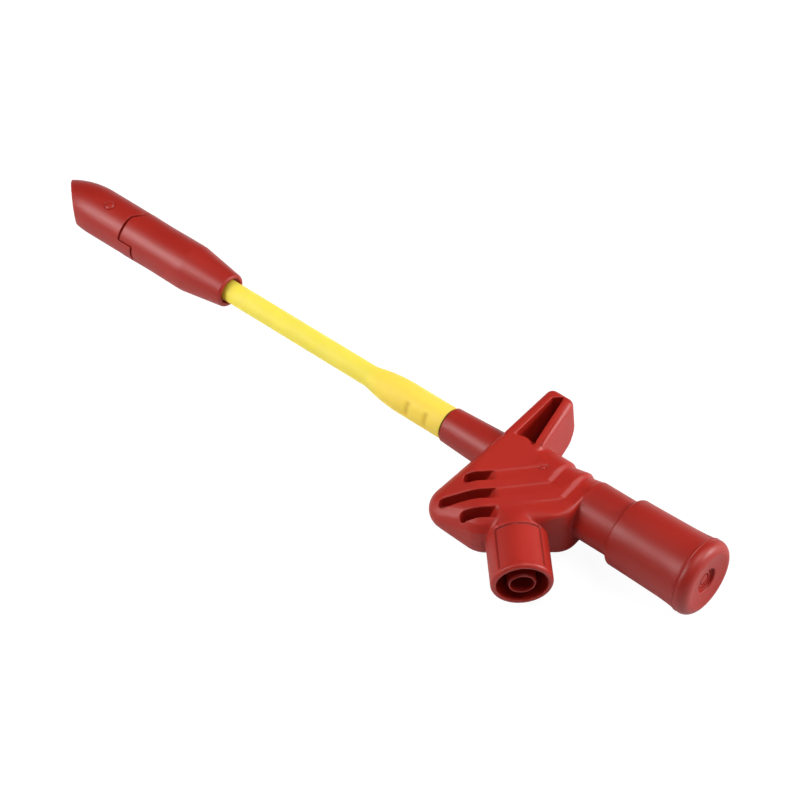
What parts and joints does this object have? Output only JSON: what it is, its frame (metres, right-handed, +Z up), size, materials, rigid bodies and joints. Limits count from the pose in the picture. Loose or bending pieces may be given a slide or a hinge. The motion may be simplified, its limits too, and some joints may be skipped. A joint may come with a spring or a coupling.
{
  "type": "grabber test hook",
  "caption": "Long flexible test probe with a spring plunger, a slant-nosed wire hook over a fixed needle, finger wings and a shrouded side socket for a plug.",
  "frame": {"origin": "under the middle of the part's box, on the surface that it lies on", "axes": "+X along the shaft towards the hook, +Y towards the socket side, +Z up"},
  "size_m": [0.1634, 0.04, 0.015],
  "materials": {
    "red_plastic": "satin moulded red plastic",
    "yellow_plastic": "soft flexible yellow plastic",
    "brass": "turned brass",
    "copper": "bare copper",
    "steel": "bright drawn steel"
  },
  "bodies": {
    "grip": {"grip_body": "red_plastic", "socket_collar": "red_plastic", "socket_contact": "brass", "contact_lead": "copper", "shaft_terminal": "brass", "shaft_conduit": "steel", "shaft_sleeve": "yellow_plastic", "head_sleeve": "red_plastic", "head_ferrule": "brass", "needle_carrier": "brass", "piercing_needle": "steel", "guide_bush": "brass"},
    "plunger": {"plunger_cap": "red_plastic", "cap_plug": "red_plastic", "push_rod": "steel", "retaining_clip": "steel", "rod_coupling": "steel", "push_cable": "steel", "hook_shank": "steel", "hook_pin": "red_plastic", "hook_jaw": "red_plastic", "spring_washer": "steel", "return_spring": "steel"}
  },
  "joints": [
    {"name": "plunger_slide", "type": "slide", "parent": "grip", "child": "plunger", "axis": [1, 0, 0], "range_m": [0, 0.006], "stiffness_N_per_m": 300, "springref_m": -0.008, "deforming": ["return_spring"]}
  ]
}
